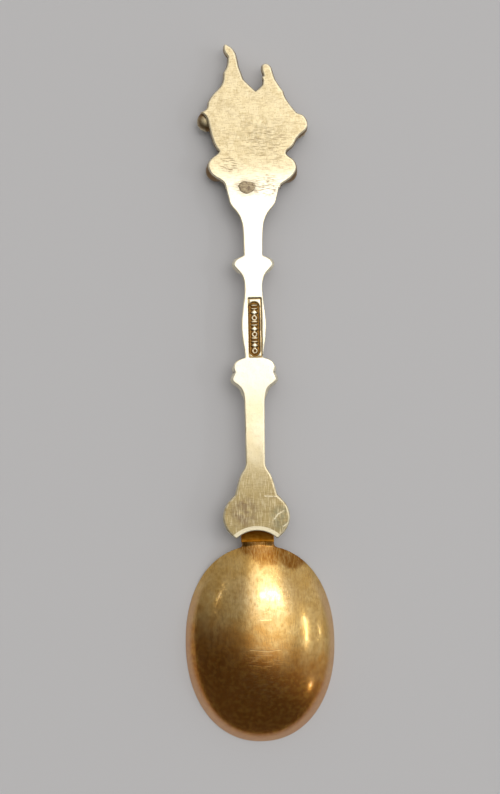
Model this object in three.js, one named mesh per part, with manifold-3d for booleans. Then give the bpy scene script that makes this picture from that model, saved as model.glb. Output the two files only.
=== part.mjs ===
// A souvenir spoon, lying face down as it would on a table: a stamped bowl, a cast stem with two knops,
// and a cast finial in the shape of a two-towered hall standing on a scrolled shield.
//
// Millimetres. +Y runs from the bowl's tip to the towers. +Z is the spoon's back. Z = 0 is the surface
// that the bowl's rim and the finial's front rest on. Castings are drawn with their flat back at zero and
// their depth going down, and are then lifted onto the line that the back follows.
import * as THREE from 'three';
import { mergeVertices } from 'three/addons/utils/BufferGeometryUtils.js';
import Module from 'manifold-3d';

const wasm = await Module();
wasm.setup();

// ---- driving dimensions ----
const GAP = 0.3; // clearance between pieces that solder joins on the real spoon

const BOWL = {
  tipY: -60, // the far end of the rim
  neckY: -25.9, // where the rim meets the tongue
  centreX: 0.25, // the bowl sits a hair to the right of the stem's line
  halfWidth: 12.85,
  squareness: 2.15, // superellipse power of the rim: 2 is an ellipse
  height: 6.2,
  wall: 0.95,
  fullness: 0.93, // of the sides and the tip: near 0 a parabola, 1 a vertical-sided cup
};
const TONGUE = { halfWidth: 2.87, endY: -17.4, rootY: -27.6, bottom: 2.2, top: 3.3, arcSteps: 8 };

const BACK = { jointY: 30, jointZ: 4.15, slope: -0.028, arch: 0.000148 };
const SEAM_Y = 35; // the stem ends and the finial begins
const LEAN = 0.008; // the stem's line drifts to +X above its middle

const STEM = { edge: 0.9, crownRatio: 0.55, crownMost: 1.45, padCrown: 0.6, padTopY: -12, padFullY: -17 };
const COVE = { cornerX: 3.45, cornerY: -24.65, peakY: -23.3 }; // the scooped end of the root pad
const PANEL = { halfWidth: 1.12, topY: 16.1, bottomY: 6.05, depth: 0.18 };
const STAMP = { halfWidth: 0.9, topY: 15.5, bottomY: 6.25, depth: 0.5 };
const MARK = { count: 9, topRadius: 0.42, footRadius: 0.5, depth: 0.24 }; // raised in the stamp

const PLATE_DEPTH = 1.4; // the finial's plate, under the relief on its front
const SOLDER_SPOT = { x: -0.65, halfLength: 1.6, halfHeight: 1.15, depth: 0.4 };
const FILLET = { rise: 1.05, run: 1.45, toe: 0.12, length: 2.6, hub: 0.5 }; // solder in the scooped end

// The finial's relief. Depths are below the back; the relief starts inside the plate
const RELIEF_ROOT = -1;
const SCROLLS = [
  { x: -7.35, y: 46.7, depth: 1.9, halfX: 1.68, halfY: 1.55, halfZ: 1.5 },
  { x: 8.15, y: 45.1, depth: 2.1, halfX: 1.72, halfY: 1.7, halfZ: 1.5 },
  { x: -5.75, y: 38.15, depth: 2.1, halfX: 1.95, halfY: 1.9, halfZ: 1.6 },
  { x: 6.1, y: 37.75, depth: 2.1, halfX: 1.95, halfY: 1.95, halfZ: 1.6 },
];
const SHIELD = {
  x: 0.5,
  half: 4.4,
  waist: 4.2,
  cheek: 2.7,
  topY: 44.7,
  waistY: 40.6,
  cheekY: 37.6,
  endY: 35.9,
};
const HALL = { left: -5.2, right: 6.2, bottomY: 44.4, eavesY: 48.6, ridgeY: 51.2, depth: 2.3, hip: 1.6 };
const TALL_TOWER = { x: -2.78, width: 2.3, bottomY: 44.6, topY: 53.8, depth: 2.95 };
const SHORT_TOWER = { x: 3.15, width: 1.5, bottomY: 44.6, topY: 53.6, depth: 2.85 };
const SPIRE = { x: -2.75, radius: 0.92, bottomY: 53.6, topY: 58.2, depth: 1.35 };
const TURRET = { x: 3.12, y: 54.2, depth: 1.4, halfX: 0.72, halfY: 1.5, halfZ: 0.8 };

// How finely round shapes are faceted
const CIRCLE_STEPS = 72;
const OVAL_STEPS = 8;
const CUT_REACH = 5; // cutters run this far past what they cut

// Half-widths of the stem as [y, half-width], top to bottom; each run is one smooth stretch
const STEM_RUNS = {
  capital: [
    [34.85, 4.5], [33.1, 4.08], [32.2, 3.82], [31.5, 3.35], [30.6, 2.6], [29.2, 1.95], [27.5, 1.7],
    [23.35, 1.6],
  ],
  upperKnop: [
    [23.3, 1.75], [22.8, 2.75], [22.2, 3.2], [21.8, 3.3], [21.3, 3.05], [20.5, 2.3], [19.6, 1.78],
    [18.6, 1.55],
  ],
  markBelly: [
    [18.55, 1.54], [17, 1.54], [15, 1.78], [13, 2.02], [11.5, 2.12], [9, 1.94], [7, 1.62], [6.02, 1.52],
  ],
  upperLobe: [[5.97, 1.75], [5.75, 2.4], [5.35, 3.1], [4.8, 3.42], [4.2, 3.5], [3.55, 3.28]],
  lowerLobe: [
    [3.5, 3.28], [2.9, 3.55], [2.3, 3.74], [1.8, 3.45], [1.3, 2.75], [0.6, 2.15], [-0.4, 1.84], [-1.4, 1.74],
  ],
  shaft: [[-1.45, 1.74], [-6, 1.68], [-12, 1.64]],
  padShoulder: [[-12.05, 1.65], [-12.8, 1.88], [-13.5, 2.35], [-14.4, 2.8], [-16, 3.26], [-17.2, 3.58]],
  padLobe: [
    [-17.25, 3.62], [-18.3, 4.62], [-19.2, 5.25], [-20.2, 5.58], [-21.1, 5.7], [-22.2, 5.48], [-23.3, 4.94],
    [-24.1, 4.2], [-24.64, 3.46],
  ],
};

// The finial's outline, clockwise from the tall tower's tip; each run is one smooth stretch between corners
const FINIAL_RUNS = [
  // tall spire, roof down to the valley, and up to the turret
  [[-4, 59.5], [-3.1, 59.02], [-2.4, 58.1], [-2.06, 56.9], [-1.85, 55.7], [-1.45, 54.55], [-1.05, 53.4]],
  [[-1.05, 53.4], [0, 52.35], [1.1, 51.3]],
  [[1.1, 51.3], [1.7, 51.75], [2.42, 52.45]],
  // turret, and the long right slope below it
  [
    [2.42, 52.45], [2.62, 53.8], [2.3, 55], [2.42, 55.85], [3.05, 56.02], [3.68, 55.5], [4, 54.4],
    [4.35, 53.35],
  ],
  [[4.35, 53.35], [5.3, 51.85], [5.68, 51.4]],
  [[5.68, 51.4], [6.05, 50.2], [7.1, 48.6], [8.02, 47.5]],
  // upper and lower right scrolls
  [[8.02, 47.5], [9.05, 47.12], [9.62, 46.3], [9.8, 45.4], [9.4, 44.6], [8.5, 43.9], [7.75, 43.05]],
  [[7.75, 43.05], [7.2, 42], [6.2, 41.2]],
  [
    [6.2, 41.2], [6.02, 40.75], [6.35, 40.2], [7.25, 39.55], [7.74, 38.5], [7.5, 37.45], [6.6, 36.4],
    [5.4, 35.6], [4.86, 34.85 + GAP],
  ],
  // lower left scroll, waist and upper left scroll
  [
    [-4.16, 34.85 + GAP], [-4.75, 36.1], [-6.3, 37.1], [-7.05, 38.2], [-7.1, 39.1], [-6.5, 40],
    [-5.5, 40.72], [-5.18, 41.2],
  ],
  [[-5.18, 41.2], [-5.9, 42.3], [-6.35, 43.6], [-6.8, 45.3], [-7.15, 46.9], [-8.1, 47.95]],
  [[-8.1, 47.95], [-7.45, 48.25], [-7.02, 48.8], [-6.95, 49.6]],
  // left slope, tall tower and its bent weather vane
  [[-6.95, 49.6], [-6.1, 50.9], [-4.9, 52.1], [-4.3, 53.2], [-4.22, 54.6]],
  [[-4.22, 54.6], [-3.65, 55.6], [-3.45, 56.6], [-3.42, 57.35]],
  [[-3.42, 57.35], [-3.95, 58.05], [-4.14, 58.8], [-4, 59.5]],
];

// ---- general helpers ----

/** Height of the flat back at y: a straight finial, then a stem that arches very slightly. */
function backZ(y) {
  const along = BACK.jointY - y;
  const arch = along > 0 ? BACK.arch * along * along : 0;
  return BACK.jointZ - BACK.slope * along - arch;
}

/** Lifts a casting drawn with its back at zero onto the back's line. */
function raiseToBack(geometry) {
  const position = geometry.attributes.position;
  for (let i = 0; i < position.count; i += 1) {
    position.setZ(i, position.getZ(i) + backZ(position.getY(i)));
  }
  return geometry;
}

/** Closed body through a stack of rings with the same number of points, with its ends filled in. */
function skin(rings) {
  const count = rings[0].length;
  const positions = [];
  const indices = [];
  for (const ring of rings) {
    for (const point of ring) positions.push(point.x, point.y, point.z);
  }
  for (let k = 0; k + 1 < rings.length; k += 1) {
    for (let i = 0; i < count; i += 1) {
      const a = k * count + i;
      const b = k * count + ((i + 1) % count);
      indices.push(a, b, a + count);
      indices.push(b, b + count, a + count);
    }
  }
  for (const end of [0, rings.length - 1]) {
    const centre = new THREE.Vector3();
    for (const point of rings[end]) centre.addScaledVector(point, 1 / count);
    const hub = positions.length / 3;
    positions.push(centre.x, centre.y, centre.z);
    for (let i = 0; i < count; i += 1) {
      const a = end * count + i;
      const b = end * count + ((i + 1) % count);
      if (end === 0) indices.push(b, a, hub);
      else indices.push(a, b, hub);
    }
  }
  const geometry = new THREE.BufferGeometry();
  geometry.setAttribute('position', new THREE.Float32BufferAttribute(positions, 3));
  geometry.setIndex(indices);
  return faceOutward(geometry);
}

/** Turns every triangle over when a closed body's faces point inward. */
function faceOutward(geometry) {
  const position = geometry.attributes.position;
  const index = geometry.index.array;
  const corner = [new THREE.Vector3(), new THREE.Vector3(), new THREE.Vector3()];
  let volume = 0;
  for (let i = 0; i < index.length; i += 3) {
    for (let k = 0; k < 3; k += 1) corner[k].fromBufferAttribute(position, index[i + k]);
    volume += corner[0].dot(corner[1].clone().cross(corner[2]));
  }
  if (volume < 0) {
    for (let i = 0; i < index.length; i += 3) {
      const swapped = index[i + 1];
      index[i + 1] = index[i + 2];
      index[i + 2] = swapped;
    }
  }
  return geometry;
}

function toSolid(geometry) {
  const bare = geometry.clone();
  bare.deleteAttribute('normal');
  bare.deleteAttribute('uv');
  const merged = mergeVertices(bare, 1e-4);
  const mesh = new wasm.Mesh({
    numProp: 3,
    vertProperties: new Float32Array(merged.attributes.position.array),
    triVerts: new Uint32Array(merged.index.array),
  });
  return new wasm.Manifold(mesh);
}

function toGeometry(solid) {
  const mesh = solid.getMesh();
  const geometry = new THREE.BufferGeometry();
  geometry.setAttribute('position', new THREE.Float32BufferAttribute(mesh.vertProperties, 3));
  geometry.setIndex(Array.from(mesh.triVerts));
  return geometry;
}

function join(solids) {
  return solids.reduce((whole, piece) => whole.add(piece));
}

/** A flat outline pushed down from z = top to z = bottom. */
function slab(shape, top, bottom, curveSegments = 2) {
  const options = { depth: top - bottom, bevelEnabled: false, curveSegments };
  return new THREE.ExtrudeGeometry(shape, options).translate(0, 0, bottom);
}

function stadium(halfWidth, bottomY, topY) {
  const shape = new THREE.Shape();
  shape.absarc(0, topY - halfWidth, halfWidth, 0, Math.PI, false);
  shape.absarc(0, bottomY + halfWidth, halfWidth, Math.PI, 2 * Math.PI, false);
  return shape;
}

function block(width, height, depth, x, y, z) {
  return new THREE.BoxGeometry(width, height, depth).translate(x, y, z);
}

/** A sphere squashed to three half-axes, at a depth below the back. */
function boss({ x, y, depth, halfX, halfY, halfZ }) {
  return new THREE.SphereGeometry(1, 18, 10).scale(halfX, halfY, halfZ).translate(x, y, -depth);
}

function splinePoints(pairs, steps) {
  const curve = new THREE.SplineCurve(pairs.map(([x, y]) => new THREE.Vector2(x, y)));
  return curve.getPoints(steps);
}

// ---- bowl ----

/**
 * Height of a face of the bowl at a reach from its crown (0) to its rim (1), as a share of the crown's
 * height over the rim: a full dome, except towards the neck, where it is a parabola.
 */
function bowlSection(reach, along) {
  const brim = Math.sqrt(1 - BOWL.fullness ** 2);
  const dome = (Math.sqrt(1 - (BOWL.fullness * reach) ** 2) - brim) / (1 - brim);
  return THREE.MathUtils.lerp(dome, 1 - reach ** 2, Math.max(along, 0) ** 2);
}

/** One ring of a face of the shell: a superellipse whose neck end lifts to the height of the tongue. */
function bowlRing(inset, tongueZ, reach, count = 56) {
  const halfLength = (BOWL.neckY - BOWL.tipY) / 2;
  const centreY = BOWL.tipY + halfLength;
  const power = 2 / BOWL.squareness;
  const ring = [];
  for (let i = 0; i < count; i += 1) {
    const angle = (2 * Math.PI * i) / count;
    const across = Math.sign(Math.cos(angle)) * Math.abs(Math.cos(angle)) ** power;
    const along = Math.sign(Math.sin(angle)) * Math.abs(Math.sin(angle)) ** power;
    const rimZ = tongueZ * Math.max(along, 0) ** 6;
    const z = rimZ + (BOWL.height - inset - rimZ) * bowlSection(reach, along);
    const x = BOWL.centreX + (BOWL.halfWidth - inset) * reach * across;
    const y = centreY + (halfLength - inset) * reach * along;
    ring.push(new THREE.Vector3(x, y, z));
  }
  return ring;
}

/** Rings of one face of the shell, from its crown outward. */
function bowlFace(inset, tongueZ) {
  const reaches = [0.06, 0.2, 0.34, 0.47, 0.59, 0.7, 0.79, 0.87, 0.94, 1];
  return reaches.map((reach) => bowlRing(inset, tongueZ, reach));
}

function bowlGeometry() {
  const inside = bowlFace(BOWL.wall, TONGUE.bottom);
  const shell = toSolid(skin([...bowlFace(0, TONGUE.top), ...[...inside].reverse()]));
  const outline = new THREE.Shape();
  outline.moveTo(-TONGUE.halfWidth, TONGUE.rootY);
  outline.lineTo(TONGUE.halfWidth, TONGUE.rootY);
  outline.lineTo(TONGUE.halfWidth, TONGUE.endY - TONGUE.halfWidth);
  outline.absarc(0, TONGUE.endY - TONGUE.halfWidth, TONGUE.halfWidth, 0, Math.PI, false);
  const tongue = toSolid(slab(outline, TONGUE.top, TONGUE.bottom, TONGUE.arcSteps));
  const mouth = inside[inside.length - 1].map((point) => new THREE.Vector3(point.x, point.y, -1));
  return toGeometry(shell.add(tongue.subtract(toSolid(skin([...inside, mouth])))));
}

// ---- stem ----

function stemRing(y, halfWidth) {
  const padness = THREE.MathUtils.smoothstep(-y, -STEM.padTopY, -STEM.padFullY);
  const round = Math.min(STEM.crownRatio * halfWidth, STEM.crownMost);
  const crown = THREE.MathUtils.lerp(round, STEM.padCrown, padness);
  const axisX = LEAN * Math.max(0, y);
  const ring = [new THREE.Vector3(axisX - halfWidth, y, 0), new THREE.Vector3(axisX + halfWidth, y, 0)];
  const arcSteps = 6;
  for (let i = 0; i <= arcSteps; i += 1) {
    const angle = (Math.PI * i) / arcSteps;
    const x = axisX + halfWidth * Math.cos(angle);
    ring.push(new THREE.Vector3(x, y, -STEM.edge - crown * Math.sin(angle)));
  }
  return ring;
}

/** The circle that scoops out the end of the root pad. */
function coveCircle() {
  const sagitta = COVE.peakY - COVE.cornerY;
  const radius = (COVE.cornerX ** 2 + sagitta ** 2) / (2 * sagitta);
  return { radius, centreY: COVE.peakY - radius };
}

function coveCutter() {
  const { radius, centreY } = coveCircle();
  const disc = new THREE.CylinderGeometry(radius, radius, 2 * CUT_REACH, CIRCLE_STEPS);
  return disc.rotateX(Math.PI / 2).translate(0, centreY, 0);
}

/** The stamped recess: a panel, and in it a deeper long oval that leaves a row of plain raised marks. */
function stampCutter() {
  const axisX = LEAN * (PANEL.topY + PANEL.bottomY) / 2;
  const panelHeight = PANEL.topY - PANEL.bottomY;
  const middleY = PANEL.bottomY + panelHeight / 2;
  const panel = block(2 * PANEL.halfWidth, panelHeight, 2 * PANEL.depth, 0, middleY, 0);
  const outline = stadium(STAMP.halfWidth, STAMP.bottomY, STAMP.topY);
  let oval = toSolid(slab(outline, CUT_REACH, -STAMP.depth, OVAL_STEPS));
  const firstY = STAMP.bottomY + STAMP.halfWidth;
  const pitch = (STAMP.topY - STAMP.halfWidth - firstY) / (MARK.count - 1);
  for (let i = 0; i < MARK.count; i += 1) {
    const sides = i % 2 ? 4 : 12; // lozenges and dots in turn
    const mark = new THREE.CylinderGeometry(MARK.topRadius, MARK.footRadius, 1, sides).rotateX(Math.PI / 2);
    oval = oval.subtract(toSolid(mark.translate(0, firstY + pitch * i, -MARK.depth - 0.5)));
  }
  return toSolid(panel).add(oval).translate([axisX, 0, 0]);
}

function solderSpot(grow) {
  const { x, halfLength, halfHeight } = SOLDER_SPOT;
  const spot = new THREE.Shape();
  spot.absellipse(x, SEAM_Y, halfLength + grow, halfHeight + grow, 0, 2 * Math.PI);
  return spot;
}

/** The hollow that the solder spot lies in, cut into both castings. */
function solderPocket() {
  return toSolid(slab(solderSpot(GAP), CUT_REACH, -SOLDER_SPOT.depth - GAP, OVAL_STEPS));
}

function stemGeometry() {
  const rings = [];
  for (const run of Object.values(STEM_RUNS)) {
    const steps = Math.round(run.length * 1.5);
    for (const station of splinePoints(run, steps)) rings.push(stemRing(station.x, station.y));
  }
  const cuts = join([toSolid(coveCutter()), stampCutter(), solderPocket()]);
  return raiseToBack(toGeometry(toSolid(skin(rings)).subtract(cuts)));
}

// ---- finial ----

function finialOutline() {
  const outline = new THREE.Shape();
  outline.moveTo(...FINIAL_RUNS[0][0]);
  for (const run of FINIAL_RUNS) {
    const [first, ...rest] = run.map(([x, y]) => new THREE.Vector2(x, y));
    if (outline.currentPoint.distanceTo(first) > 1e-6) outline.lineTo(first.x, first.y);
    outline.splineThru(rest);
  }
  return outline;
}

/** The shield's outline, alike on both sides, down to a point. */
function shieldOutline() {
  const { x, half, waist, cheek, topY, waistY, cheekY, endY } = SHIELD;
  const shape = new THREE.Shape();
  const at = (dx, y) => new THREE.Vector2(x + dx, y);
  shape.moveTo(x - half, topY);
  shape.lineTo(x + half, topY);
  shape.splineThru([at(waist, waistY), at(cheek, cheekY), at(0, endY)]);
  shape.splineThru([at(-cheek, cheekY), at(-waist, waistY), at(-half, topY)]);
  return shape;
}

function hallOutline() {
  const { left, right, bottomY, eavesY, ridgeY, hip } = HALL;
  const shape = new THREE.Shape();
  shape.moveTo(left, bottomY);
  shape.lineTo(right, bottomY);
  shape.lineTo(right, eavesY);
  shape.lineTo(right - hip, ridgeY);
  shape.lineTo(left + hip, ridgeY);
  shape.lineTo(left, eavesY);
  return shape;
}

function towerGeometry({ x, width, bottomY, topY, depth }) {
  const middle = (RELIEF_ROOT - depth) / 2;
  return block(width, topY - bottomY, depth + RELIEF_ROOT, x, (topY + bottomY) / 2, middle);
}

function spireGeometry() {
  const height = SPIRE.topY - SPIRE.bottomY;
  const cone = new THREE.ConeGeometry(SPIRE.radius, height, 8);
  return cone.translate(SPIRE.x, SPIRE.bottomY + height / 2, -SPIRE.depth);
}

/** Scrolls, shield, hall and towers on the front, all sunk into the plate. */
function finialRelief() {
  const table = -backZ(SHIELD.topY); // the depth at which the shield's upper edge touches the table
  return [
    ...SCROLLS.map(boss),
    slab(shieldOutline(), RELIEF_ROOT, table, 3),
    slab(hallOutline(), RELIEF_ROOT, -HALL.depth),
    towerGeometry(TALL_TOWER),
    towerGeometry(SHORT_TOWER),
    spireGeometry(),
    boss(TURRET),
  ].map(toSolid);
}

function finialGeometry() {
  const plate = toSolid(slab(finialOutline(), 0, -PLATE_DEPTH));
  return raiseToBack(toGeometry(join([plate, ...finialRelief()]).subtract(solderPocket())));
}

// ---- solder ----

/** The solder run on in the corner between the pad's scooped end and the tongue. */
function bowlSolderGeometry() {
  const { radius, centreY } = coveCircle();
  const wall = radius - GAP;
  const bottom = TONGUE.top + GAP;
  const profile = [[FILLET.hub, bottom], [wall, bottom], [wall, bottom + FILLET.rise]];
  const curveSteps = 5;
  for (let i = 1; i <= curveSteps; i += 1) {
    const out = Math.sin((Math.PI / 2) * (i / curveSteps));
    profile.push([wall - FILLET.run * out, bottom + THREE.MathUtils.lerp(FILLET.rise, FILLET.toe, out)]);
  }
  profile.push([FILLET.hub, bottom + FILLET.toe], [FILLET.hub, bottom]);
  const ring = new THREE.LatheGeometry(profile.map(([r, z]) => new THREE.Vector2(r, z)), CIRCLE_STEPS);
  ring.rotateX(Math.PI / 2).translate(0, centreY, 0);
  const width = 2 * (TONGUE.halfWidth - GAP);
  const middleY = COVE.peakY + GAP - FILLET.length / 2;
  const keep = block(width, FILLET.length, 2 * CUT_REACH, 0, middleY, bottom);
  return toGeometry(toSolid(ring).intersect(toSolid(keep)));
}

function finialSolderGeometry() {
  return raiseToBack(slab(solderSpot(0), 0, -SOLDER_SPOT.depth, OVAL_STEPS));
}

// ---- assembly ----

function metal(color, roughness) {
  return new THREE.MeshStandardMaterial({ color, roughness, metalness: 1 });
}

function piece(name, geometry, material) {
  const mesh = new THREE.Mesh(geometry, material);
  mesh.name = name;
  return mesh;
}

const spoon = new THREE.Group();
// The origin is under the middle of the spoon's box.
spoon.position.set(-BOWL.centreX, -(BOWL.tipY + FINIAL_RUNS[0][0][1]) / 2, 0);
spoon.add(piece('bowl', bowlGeometry(), metal(0xc4974a, 0.18)));

const handle = new THREE.Group();
handle.add(piece('handle_stem', stemGeometry(), metal(0xe8dcb4, 0.32)));
handle.add(piece('finial', finialGeometry(), metal(0xe0d3aa, 0.4)));
spoon.add(handle);

const joints = new THREE.Group();
joints.add(piece('bowl_solder', bowlSolderGeometry(), metal(0x9a6420, 0.45)));
joints.add(piece('finial_solder', finialSolderGeometry(), metal(0x9d8f74, 0.5)));
spoon.add(joints);

export default spoon;
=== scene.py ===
"""The looks of a souvenir spoon that lies face down: a gilt bowl, a cast stem and a cast finial.

The castings are distance fields on a fine grid, so that their shapes run into each other with soft
inner corners, as poured metal does. The bowl is a subdivision surface. Shapes are in millimetres
until a mesh is made.
"""
import functools
import math

import bmesh
import bpy
import numpy as np
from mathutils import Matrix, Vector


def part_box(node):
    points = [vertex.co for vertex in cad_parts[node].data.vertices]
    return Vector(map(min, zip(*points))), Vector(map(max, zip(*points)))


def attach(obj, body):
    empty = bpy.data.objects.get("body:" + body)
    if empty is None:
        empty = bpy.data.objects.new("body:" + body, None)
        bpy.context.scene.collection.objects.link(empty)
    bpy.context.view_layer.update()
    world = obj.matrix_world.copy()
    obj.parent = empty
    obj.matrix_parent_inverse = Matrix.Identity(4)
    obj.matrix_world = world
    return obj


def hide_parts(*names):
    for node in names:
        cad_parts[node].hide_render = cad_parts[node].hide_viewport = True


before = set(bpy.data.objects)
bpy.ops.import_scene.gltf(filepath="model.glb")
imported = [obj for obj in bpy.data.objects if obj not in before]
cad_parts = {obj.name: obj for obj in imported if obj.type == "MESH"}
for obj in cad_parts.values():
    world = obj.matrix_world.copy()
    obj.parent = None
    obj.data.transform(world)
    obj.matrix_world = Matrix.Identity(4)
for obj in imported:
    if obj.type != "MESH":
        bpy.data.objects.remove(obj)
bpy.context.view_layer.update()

import openvdb
from mathutils import Matrix, Vector

MM = 0.001  # one millimetre in metres


def box_mm(node):
    """A CAD node's lowest and highest corners, in millimetres."""
    return [np.array(corner[:]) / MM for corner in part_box(node)]


STEM_LOW, STEM_HIGH = box_mm("handle_stem")
FINIAL_LOW, FINIAL_HIGH = box_mm("finial")
BOWL_LOW, BOWL_HIGH = box_mm("bowl")
NECK_SOLDER_TOP = box_mm("bowl_solder")[1][2]
PATCH_LOW, PATCH_HIGH = box_mm("finial_solder")
PATCH_CENTRE = (PATCH_LOW + PATCH_HIGH)[:2] / 2

SEAM_Y = (STEM_HIGH[1] + FINIAL_LOW[1]) / 2  # where the stem and the finial meet
SEAM_OVERLAP = 0.2  # how far each runs into the other, so that solder fills the joint
PAD_X = (STEM_LOW[0] + STEM_HIGH[0]) / 2  # the middle of the stem's root pad
BOX_GAP = 0.02  # cast meshes stay this far inside their CAD node's box

# The scooped end of the root pad, and the polished lip that rises along it
PAD_END_Y = STEM_LOW[1]
COVE = {"corner_x": 3.45, "sagitta": 1.34, "lip_width": 0.8, "lip_rise": 0.15}
COVE["radius"] = (COVE["corner_x"] ** 2 + COVE["sagitta"] ** 2) / (2 * COVE["sagitta"])
COVE["centre_y"] = PAD_END_Y + COVE["sagitta"] - COVE["radius"]


# ---- shapes read from the frame

def node_triangles(node):
    """Corner positions of a CAD node's faces, in millimetres, as an array of triangles."""
    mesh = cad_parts[node].data
    mesh.calc_loop_triangles()
    places = np.array([v.co[:] for v in mesh.vertices]) / MM
    return places[np.array([t.vertices[:] for t in mesh.loop_triangles])]


def back_line(triangles, degree):
    """The height of a casting's flat back along y, as polynomial coefficients.

    Faces that look up are fitted, and those that turn out to lie below the back are dropped.
    """
    normals = np.cross(triangles[:, 1] - triangles[:, 0], triangles[:, 2] - triangles[:, 0])
    areas = np.linalg.norm(normals, axis=1) + 1e-12
    level = normals[:, 2] / areas > 0.99
    spots = triangles[level].reshape(-1, 3)
    weights = np.repeat(np.sqrt(areas[level]), 3)
    keep = np.ones(len(spots), bool)
    for _ in range(6):
        fit = np.polyfit(spots[keep, 1], spots[keep, 2], degree, w=weights[keep])
        miss = spots[:, 2] - np.polyval(fit, spots[:, 1])
        keep = miss > min(-0.02, np.percentile(miss[keep], 10))
    return fit


def back_outline(triangles, fit):
    """The longest closed edge of a casting's back face, as plan points."""
    on_back = np.abs(triangles[:, :, 2] - np.polyval(fit, triangles[:, :, 1])).max(1) < 0.02
    follow = {}
    for triangle in np.round(triangles[on_back, :, :2], 3):
        for k in range(3):
            start, end = tuple(triangle[k]), tuple(triangle[(k + 1) % 3])
            if end in follow and start in follow[end]:
                follow[end].remove(start)
            else:
                follow.setdefault(start, []).append(end)
    loops = []
    while any(follow.values()):
        spot = next(key for key, ends in follow.items() if ends)
        loop = []
        while follow.get(spot):
            loop.append(spot)
            spot = follow[spot].pop()
        loops.append(loop)
    return np.array(max(loops, key=len))


def silhouette(triangles, stations):
    """Least and greatest x of a node at each y."""
    starts = triangles.reshape(-1, 3)
    ends = triangles[:, [1, 2, 0]].reshape(-1, 3)
    left, right = [], []
    for y in stations:
        crossing = (starts[:, 1] <= y) != (ends[:, 1] <= y)
        a, b = starts[crossing], ends[crossing]
        x = a[:, 0] + (b[:, 0] - a[:, 0]) * (y - a[:, 1]) / (b[:, 1] - a[:, 1])
        left.append(x.min())
        right.append(x.max())
    return np.array(left), np.array(right)


STEM_TRIANGLES = node_triangles("handle_stem")
FINIAL_TRIANGLES = node_triangles("finial")
STEM_BACK = back_line(STEM_TRIANGLES, 2)
FINIAL_BACK = back_line(FINIAL_TRIANGLES, 1)


# ---- distance fields

GRID_STEP = 0.09
MARGIN = 0.3  # empty grid round a casting
EDGE_PASSES = 1  # of smoothing, to round the edges
RIDGE_PASSES = 7  # of smoothing, against which ridges and hollows show


class Block:
    """A block of grid points: x, y and z, and depth below the casting's back."""

    def __init__(self, low, high, back):
        self.low = np.array(low, float) - MARGIN
        self.counts = np.ceil((np.array(high) - self.low + MARGIN) / GRID_STEP).astype(int) + 1
        axes = [l + GRID_STEP * np.arange(n) for l, n in zip(self.low, self.counts)]
        self.xs, self.ys, self.zs = [a.astype(np.float32) for a in axes]
        self.x = self.xs[:, None, None]
        self.y = self.ys[None, :, None]
        self.z = self.zs[None, None, :]
        self.back = back
        self.depth = (np.polyval(back, self.ys)[:, None] - self.zs[None, :])[None].astype(np.float32)

    def sample(self, field, points):
        """The field at points given in grid steps, read between its grid values."""
        base = np.clip(np.floor(points).astype(int), 0, self.counts - 2)
        part = points - base
        total = np.zeros(len(points))
        for corner in range(8):
            offset = np.array([corner & 1, corner >> 1 & 1, corner >> 2 & 1])
            share = np.where(offset, part, 1 - part).prod(1)
            at = base + offset
            total += share * field[at[:, 0], at[:, 1], at[:, 2]]
        return total

    def outside_box(self, low, high):
        """Distance outside a box, negative within it."""
        sides = [axis - h for axis, h in zip((self.x, self.y, self.z), high)]
        sides += [l - axis for axis, l in zip((self.x, self.y, self.z), low)]
        return functools.reduce(np.maximum, sides)


def soft_min(a, b, blend):
    share = np.clip(0.5 + 0.5 * (b - a) / blend, 0, 1)
    return b * (1 - share) + a * share - blend * share * (1 - share)


def soft_max(a, b, blend):
    return -soft_min(-a, -b, blend)


def ramp(values, start, end):
    """0 up to start, 1 from end on, and straight between them."""
    return np.clip((values - start) / (end - start), 0, 1)


def outline_distance(points, xs, ys):
    """Signed distance in plan from a closed outline, negative inside, as a thin 3-D array."""
    x, y = np.meshgrid(xs, ys, indexing="ij")
    nearest = np.full(x.shape, 1e6, np.float32)
    inside = np.zeros(x.shape, bool)
    for (x0, y0), (x1, y1) in zip(points, np.roll(points, -1, axis=0)):
        run, rise = x1 - x0, y1 - y0
        share = np.clip(((x - x0) * run + (y - y0) * rise) / max(run * run + rise * rise, 1e-9), 0, 1)
        nearest = np.minimum(nearest, (x - x0 - share * run) ** 2 + (y - y0 - share * rise) ** 2)
        if y0 != y1:
            inside ^= ((y0 > y) != (y1 > y)) & (x < run * (y - y0) / rise + x0)
    distance = np.sqrt(nearest)
    return np.where(inside, -distance, distance)[:, :, None]


def rounded_box_plan(block, centre, half, radius):
    """Plan distance from a rectangle with rounded corners."""
    across = np.abs(block.x - centre[0]) - half[0] + radius
    along = np.abs(block.y - centre[1]) - half[1] + radius
    outside = np.sqrt(np.maximum(across, 0) ** 2 + np.maximum(along, 0) ** 2)
    return outside + np.minimum(np.maximum(across, along), 0) - radius


def disc_plan(block, centre, radius):
    return np.sqrt((block.x - centre[0]) ** 2 + (block.y - centre[1]) ** 2) - radius


def pill_plan(block, start, end, radius):
    """Plan distance from a line with round ends."""
    x, y = block.x - start[0], block.y - start[1]
    run, rise = end[0] - start[0], end[1] - start[1]
    share = np.clip((x * run + y * rise) / (run * run + rise * rise), 0, 1)
    return np.sqrt((x - share * run) ** 2 + (y - share * rise) ** 2) - radius


def soften(field, passes):
    """Rounds every edge of a field by about its grid step."""
    for _ in range(passes):
        for axis in range(3):
            padded = np.pad(field, [(1, 1) if k == axis else (0, 0) for k in range(3)], mode="edge")
            ahead = np.take(padded, range(2, padded.shape[axis]), axis)
            behind = np.take(padded, range(0, padded.shape[axis] - 2), axis)
            field = 0.5 * field + 0.25 * (ahead + behind)
    return field


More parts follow.
